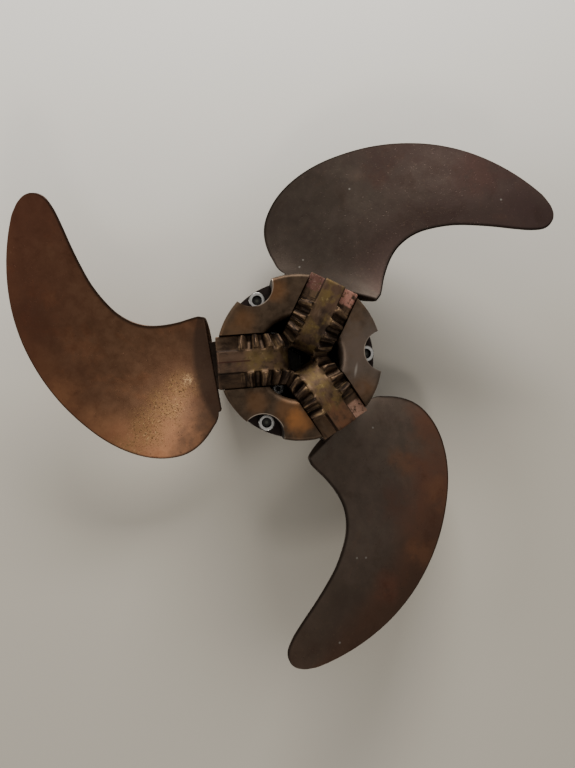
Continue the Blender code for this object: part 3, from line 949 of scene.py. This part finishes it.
def hubMaterial():
    material, shader, place = startMaterial("hub_bronze", 0.85)
    tree = material.node_tree
    pockets, wall = roundShaft(hub["pocketCentre"]), hub["pocketRadius"]
    cloud = grain(place, 28, 5, 0.6, 0.4, 2.2)
    mottle = grain(place, 150, 6, 0.65, 0.2, 5.1)
    colour = blend(stepUp(mottle, 0.3, 0.65), (0.045, 0.029, 0.018), (0.084, 0.055, 0.035))
    colour = paint(colour, (0.125, 0.070, 0.036), stepUp(cloud, 0.5, 0.75))
    stain = 0.0
    for centre, radius, share in hubStains:
        patch = times(spot(place, centre, radius), share)
        stain = mathNode("ADD", stain, patch, clamp=True)
    colour = paint(colour, (0.33, 0.140, 0.048), stain)
    grey = spot(place, (0.048, 0.0, 0.049), 0.032)
    colour = paint(colour, (0.150, 0.118, 0.098), grey, 0.7)
    # Painted highlight: a pale streak on the right ear near its inner rounding.
    streak = {"Vector": place, "Location": (0.0398, -0.0125, 0.049), "Rotation": (0, 0, radians(-14)),
              "Scale": (0.0011, 0.0055, 0.01)}
    streak = addNode(tree, "ShaderNodeMapping", streak, vector_type="TEXTURE").outputs[0]
    pale = stepUp(apart(streak), 1.3, 0.1)
    colour = paint(colour, (0.40, 0.36, 0.32), pale, 0.55)
    height = addNode(tree, "ShaderNodeSeparateXYZ", {0: place}).outputs[2]
    # Painted shade: the cavity below the ears and the pocket walls darkened.
    paintedHollowShade = times(stepUp(height, 0.036, 0.0), nearAny(place, [(0, 0)], 0.05975, 0.00075))
    pocket = nearAny(place, pockets, wall + 0.2 * mm, 0.0002)
    pocket = times(pocket, stepUp(height, 0.0478, 0.046), stepUp(height, 0.0165, 0.0180))
    paintedHollowShade = larger(paintedHollowShade, pocket)
    colour = paint(colour, (0.018, 0.013, 0.014), paintedHollowShade, 0.85)
    # Pale rim round each pocket mouth on the ear tops: partly a worn edge, partly a painted highlight.
    wider, narrower = (nearAny(place, pockets, radius, 0.0002) for radius in (wall + 0.6 * mm, wall))
    rim = mathNode("SUBTRACT", wider, narrower, clamp=True)
    rim = times(rim, stepUp(grain(place, 70, 2, 0.5, 0, 3.0), 0.42, 0.6),
                stepUp(height, 0.0470, 0.0482))
    colour = paint(colour, (0.48, 0.40, 0.33), rim, 0.7)
    pits = stepUp(grain(place, 700, 2, 0.5), 0.68, 0.76)
    colour = paint(colour, (0.02, 0.014, 0.01), pits, 0.5)
    rough = plus(0.42, times(mottle, 0.2))
    feed(shader, colour, rough, minus(mottle, pits), 0.25, 0.0003)
    return material


screws = {
    "outer": {"radius": 54.1 * mm, "seat": -7.7 * mm, "shank": 4 * mm, "head": 6.5 * mm,
              "height": 5.5 * mm, "socket": 6 * mm},
    "inner": {"radius": 25.4 * mm, "seat": -54.7 * mm, "shank": 3 * mm, "head": 5 * mm,
              "height": 6 * mm, "socket": 5 * mm},
    "bottom": -74 * mm,
    "hole": 0.3 * mm,          # room round a shank
    "knurls": 40,
}


def pinSteelMaterial():
    material, shader, place = startMaterial("greased_pin_steel", 1.0)
    fine = grain(place, 300, 4, 0.6)
    colour = blend(stepUp(fine, 0.35, 0.65), (0.050, 0.044, 0.036), (0.17, 0.16, 0.14))
    rough = plus(0.35, times(fine, 0.25))
    feed(shader, colour, rough, fine, 0.1, 0.0001)
    return material


def steelMaterial():
    material, shader, place = startMaterial("bright_steel", 1.0)
    fine = grain(place, 500, 4, 0.6)
    colour = blend(stepUp(fine, 0.3, 0.7), (0.60, 0.59, 0.57), (0.86, 0.85, 0.83))
    outer, inner = roundShaft(screws["outer"]["radius"]), roundShaft(screws["inner"]["radius"])
    heads = larger(nearAny(place, outer, 0.0058, 0.0002), nearAny(place, inner, 0.0060, 0.0002))
    colour = paint(colour, (0.10, 0.095, 0.09), minus(1.0, heads), 0.8)
    # Painted shade: the hex sockets darkened almost to black.
    socket = nearAny(place, outer, 0.0038, 0.0003)
    socket = larger(socket, nearAny(place, inner, 0.0023, 0.0003))
    colour = paint(colour, (0.012, 0.011, 0.011), socket, 0.95)
    bright = nearAny(place, outer, 0.0012, 0.0006)
    colour = paint(colour, (0.20, 0.21, 0.17), bright, 0.5)
    rough = plus(0.18, times(fine, 0.2))
    feed(shader, colour, rough, fine, 0.1, 0.0001)
    return material


def rubberMaterial():
    material, shader, place = startMaterial("dull_rubber", 0.0)
    fine = grain(place, 300, 4, 0.6)
    colour = blend(fine, (0.012, 0.012, 0.012), (0.03, 0.03, 0.03))
    rough = plus(0.6, times(fine, 0.3))
    feed(shader, colour, rough, fine, 0.2, 0.0002)
    return material


hubBronze = hubMaterial()
steel = steelMaterial()
pinSteel = pinSteelMaterial()
rubber = rubberMaterial()


def placeBlades():
    for name, angle in bladeTurns.items():
        for base, suffix in ((bladePlate, "plate"), (bladeRoot, "root")):
            finish = plateMaterial(name) if suffix == "plate" else rootMaterial(name)
            piece = placed(f"{name}_{suffix}", base.data.copy())
            turnInPlace(piece, angle, hingeRadius, hingeHeight)
            smoothShade(piece, 50 if suffix == "plate" else 180)
            dress(piece, name, finish, (name,))
    for base in (bladePlate, bladeRoot):
        bpy.data.objects.remove(base, do_unlink=True)


placeBlades()
print("blades dressed")

# Hub casting and drive flange


def makeHub():
    top, out, inn = hub["earTop"], hub["outerRound"], hub["innerRound"]
    radius, cavity = hubRadius, hub["cavityRadius"]
    profile = [(hub["centreHole"], hub["bottom"]), (radius - 1.5 * mm, hub["bottom"]),
               (radius, hub["bottom"] + 1.5 * mm)]
    profile += arc((radius - out, top - out), out, 0, 90)
    profile += arc((cavity + inn, top - inn), inn, 90, 180)
    profile += [(cavity, hub["cavityFloor"]), (hub["centreHole"], hub["cavityFloor"])]
    made = spin("hub_casting", profile, 144)
    above = top + 10 * mm
    start, wall, beyond = cavity / 2, hub["wallRadius"], radius * 1.2
    floor = hub["cavityFloor"] + 1 * mm
    outline = [(start, floor), (wall, floor), (wall, hub["sill"]), (beyond, hub["sill"]),
               (beyond, above), (start, above)]
    for number, angle in enumerate(bladeTurns.values()):
        slot = extrudeAcross(f"slot{number}", outline, hub["slotHalfWidth"])
        bore = rod(f"bore{number}", root["pinBore"], hub["boreLow"], radius, 48, (hingeRadius, 0), "Y")
        for cutter in (slot, bore):
            combine(made, turnInPlace(cutter, angle))
    for number, angle in enumerate(earTurns):
        centre = (hub["pocketCentre"], 0)
        cutters = [rod(f"pocket{number}", hub["pocketRadius"], hub["pocketFloor"], above, 96, centre)]
        for key, high in (("outer", above), ("inner", 0)):
            hole, centre = screws[key]["shank"] + screws["hole"], (screws[key]["radius"], 0)
            cutters.append(rod(f"{key}{number}", hole, hub["drillBottom"], high, 32, centre))
        for cutter in cutters:
            combine(made, turnInPlace(cutter, angle))
    settle(made)
    softEdges(made, hub["edge"])
    turnInPlace(made, height=hingeHeight)
    return dress(made, "hub", hubBronze, ("hub_body",))


# heights from the hinge plane
flange = {"low": -77 * mm, "high": -65.3 * mm, "spigotTop": -57 * mm, "spigotRadius": 21.5 * mm,
          "bore": 18 * mm, "cut": 0.6 * mm}


def makeFlange():
    low, high, top, cut = flange["low"], flange["high"], flange["spigotTop"], flange["cut"]
    inner, spigot = flange["bore"], flange["spigotRadius"]
    profile = [(inner + cut, low), (hubRadius - 1.5 * mm, low), (hubRadius - 0.5 * mm, low + 0.5 * mm),
               (hubRadius, low + 1.5 * mm), (hubRadius, high - 0.5 * mm), (hubRadius - 0.5 * mm, high),
               (spigot, high), (spigot, top - cut), (spigot - cut, top), (inner, top), (inner, low + cut)]
    made = spin("drive_flange_plate", profile, 144)
    turnInPlace(made, height=hingeHeight)
    smoothShade(made, 30)
    return dress(made, "hub", hubBronze, ("drive_flange",))


hubCasting = makeHub()
makeFlange()
print("hub made:", len(hubCasting.data.polygons), "faces")

# Repeated fittings round the shaft, placed by Geometry Nodes


# Places copies of an object round Z.
def ringTree(name):
    tree = bpy.data.node_groups.new(name, "GeometryNodeTree")
    sockets = {}
    kinds = {"Part": "Object", "Count": "Int", "Radius": "Float", "First Angle": "Float",
             "Finish": "Material"}
    for label, kind in kinds.items():
        made = tree.interface.new_socket(label, in_out="INPUT", socket_type="NodeSocket" + kind)
        sockets[label] = made.identifier
    tree.interface.new_socket("Geometry", in_out="OUTPUT", socket_type="NodeSocketGeometry")
    source = tree.nodes.new("NodeGroupInput")
    sink = tree.nodes.new("NodeGroupOutput")
    index = tree.nodes.new("GeometryNodeInputIndex").outputs[0]
    step = mathNode("DIVIDE", 2 * pi, source.outputs["Count"])
    angle = mathNode("MULTIPLY_ADD", index, step)
    tree.links.new(source.outputs["First Angle"], angle.node.inputs[2])
    x = times(mathNode("COSINE", angle), source.outputs["Radius"])
    y = times(mathNode("SINE", angle), source.outputs["Radius"])
    onRing = addNode(tree, "ShaderNodeCombineXYZ", {0: x, 1: y}).outputs[0]
    turn = addNode(tree, "ShaderNodeCombineXYZ", {2: angle}).outputs[0]
    points = addNode(tree, "GeometryNodePoints", {"Count": source.outputs["Count"], "Position": onRing})
    shape = addNode(tree, "GeometryNodeObjectInfo", {"Object": source.outputs["Part"]})
    copies = addNode(tree, "GeometryNodeInstanceOnPoints", {"Points": points.outputs[0],
                     "Instance": shape.outputs["Geometry"], "Rotation": turn})
    real = addNode(tree, "GeometryNodeRealizeInstances", {"Geometry": copies.outputs[0]})
    finish = {"Geometry": real.outputs[0], "Material": source.outputs["Finish"]}
    finish = addNode(tree, "GeometryNodeSetMaterial", finish)
    tree.links.new(finish.outputs[0], sink.inputs[0])
    return tree, sockets


ringCopies, ringSockets = ringTree("ring_of_copies")


# A plain mesh of the copies; the part itself is removed.
def copiesRound(name, part, count, radius, firstAngle, finish):
    smoothShade(part)
    holder = placed(name, bpy.data.meshes.new(name))
    modifier = holder.modifiers.new("ring", "NODES")
    modifier.node_group = ringCopies
    values = {"Part": part, "Count": count, "Radius": radius, "First Angle": radians(firstAngle),
              "Finish": finish}
    for label, value in values.items():
        modifier[ringSockets[label]] = value
    settle(holder)
    bpy.data.objects.remove(part, do_unlink=True)
    return holder


# Head with a chamfered rim, a dished socket and knurled sides, on its shank.
def capScrew(size):
    head, seat = size["head"], size["seat"]
    top = seat + size["height"]
    shank, bottom, side = size["shank"], screws["bottom"], head - 0.15 * mm
    profile = [(0, bottom), (shank - 0.5 * mm, bottom), (shank, bottom + 0.5 * mm), (shank, seat),
               (head - 0.5 * mm, seat), (side, seat + 0.35 * mm), (side, top - 0.9 * mm)]
    profile += arc((head - 0.9 * mm, top - 0.8 * mm), 0.8 * mm, 0, 90, 4) + [(0, top)]
    made = spin("screw", profile, 64)
    depth = 0.55 * size["height"]
    across = size["socket"] / sqrt(3)
    combine(made, rod("hexagon", across, top - depth, top + 5 * mm, 6))
    rim = across + 0.45 * mm
    ends = ((rim - 0.9 * mm, top - 0.9 * mm), (rim + 0.6 * mm, top + 0.6 * mm))
    combine(made, loft("countersink", [circle(r, z, 32) for r, z in ends]))
    settle(made)
    ridge = rod("ridge", 0.22 * mm, seat + 0.6 * mm, top - 0.9 * mm, 6)
    ridges = copiesRound("ridges", ridge, screws["knurls"], head - 0.18 * mm, 0, steel)
    return joinAll("screw", [made, ridges])


def makeScrews():
    for key in ("outer", "inner"):
        size = screws[key]
        made = copiesRound(f"{key}_screws", capScrew(size), 3, size["radius"], earTurns[0], steel)
        turnInPlace(made, height=hingeHeight)
        dress(made, "hub", steel, [f"{key}_cap_screw_{i}" for i in (1, 2, 3)])


pins = {"radius": 7 * mm, "low": -36 * mm, "high": 28 * mm, "plugStart": 28.3 * mm, "plugEnd": 35 * mm,
        "socket": 8 * mm, "socketDepth": 4 * mm, "chamfer": 0.6 * mm}


def chamferedRod(name, radius, low, high, chamfer):
    ends = ((radius - chamfer, low), (radius, low + chamfer), (radius, high - chamfer),
            (radius - chamfer, high))
    return loft(name, [[(x, along, z) for x, z, along in circle(r, y, 48)] for r, y in ends])


def makePins():
    pin = chamferedRod("pin", pins["radius"], pins["low"], pins["high"], pins["chamfer"])
    plug = chamferedRod("plug", pins["radius"], pins["plugStart"], pins["plugEnd"], pins["chamfer"])
    start = pins["plugEnd"] - pins["socketDepth"]
    beyond = pins["plugEnd"] + 5 * mm
    combine(plug, rod("hexagon", pins["socket"] / sqrt(3), start, beyond, 6, along="Y"))
    settle(plug)
    for part, name, node in ((pin, "hinge_pins", "hinge_pin"), (plug, "pin_plugs", "pin_plug")):
        made = copiesRound(name, part, 3, hingeRadius, bladeTurns["blade_1"], pinSteel)
        turnInPlace(made, height=hingeHeight)
        dress(made, "hub", pinSteel, [f"{node}_{i}" for i in (1, 2, 3)])


sleeve = {"outer": 14.85 * mm, "splineRoot": 12.8 * mm, "splineTip": 11.4 * mm, "splines": 18,
          "low": -76.5 * mm, "high": -55 * mm, "chamfer": 0.7 * mm}


def makeSleeve():
    low, high, cut = sleeve["low"], sleeve["high"], sleeve["chamfer"]
    outer, inner = sleeve["outer"], sleeve["splineRoot"]
    profile = [(inner + cut, low), (outer - cut, low), (outer, low + cut), (outer, high - cut),
               (outer - cut, high), (inner + cut, high), (inner, high - cut), (inner, low + cut)]
    tube = spin("tube", profile, 108)
    smoothShade(tube)
    rib = []
    ends = ((low + 0.9 * mm, 0.6 * mm), (low + 1.6 * mm, 0), (high - 1.6 * mm, 0),
            (high - 0.9 * mm, 0.6 * mm))
    for z, inset in ends:
        tip = sleeve["splineTip"] + inset
        rib.append([(inner + 0.5 * mm, -1.55 * mm, z), (tip, -0.75 * mm, z), (tip, 0.75 * mm, z),
                    (inner + 0.5 * mm, 1.55 * mm, z)])
    ribs = copiesRound("ribs", loft("rib", rib), sleeve["splines"], 0.0, 0, hubBronze)
    made = joinAll("sleeve_with_splines", [tube, ribs])
    turnInPlace(made, height=hingeHeight)
    dress(made, "hub", hubBronze, ("splined_sleeve",))


bush = {"inner": 15.15 * mm, "outer": 17.85 * mm, "low": -75.5 * mm, "high": -58.5 * mm,
        "round": 0.6 * mm}


def makeBush():
    bend = bush["round"]
    profile = []
    sides = (("inner", "low", 180), ("outer", "low", 270), ("outer", "high", 0), ("inner", "high", 90))
    for side, end, start in sides:
        x = bush[side] + (bend if side == "inner" else -bend)
        z = bush[end] + (bend if end == "low" else -bend)
        profile += arc((x, z), bend, start, start + 90, 3)
    made = spin("bush", profile, 96)
    turnInPlace(made, height=hingeHeight)
    smoothShade(made)
    dress(made, "hub", rubber, ("rubber_bush",))


makeScrews()
makePins()
makeSleeve()
makeBush()
print("fittings made")

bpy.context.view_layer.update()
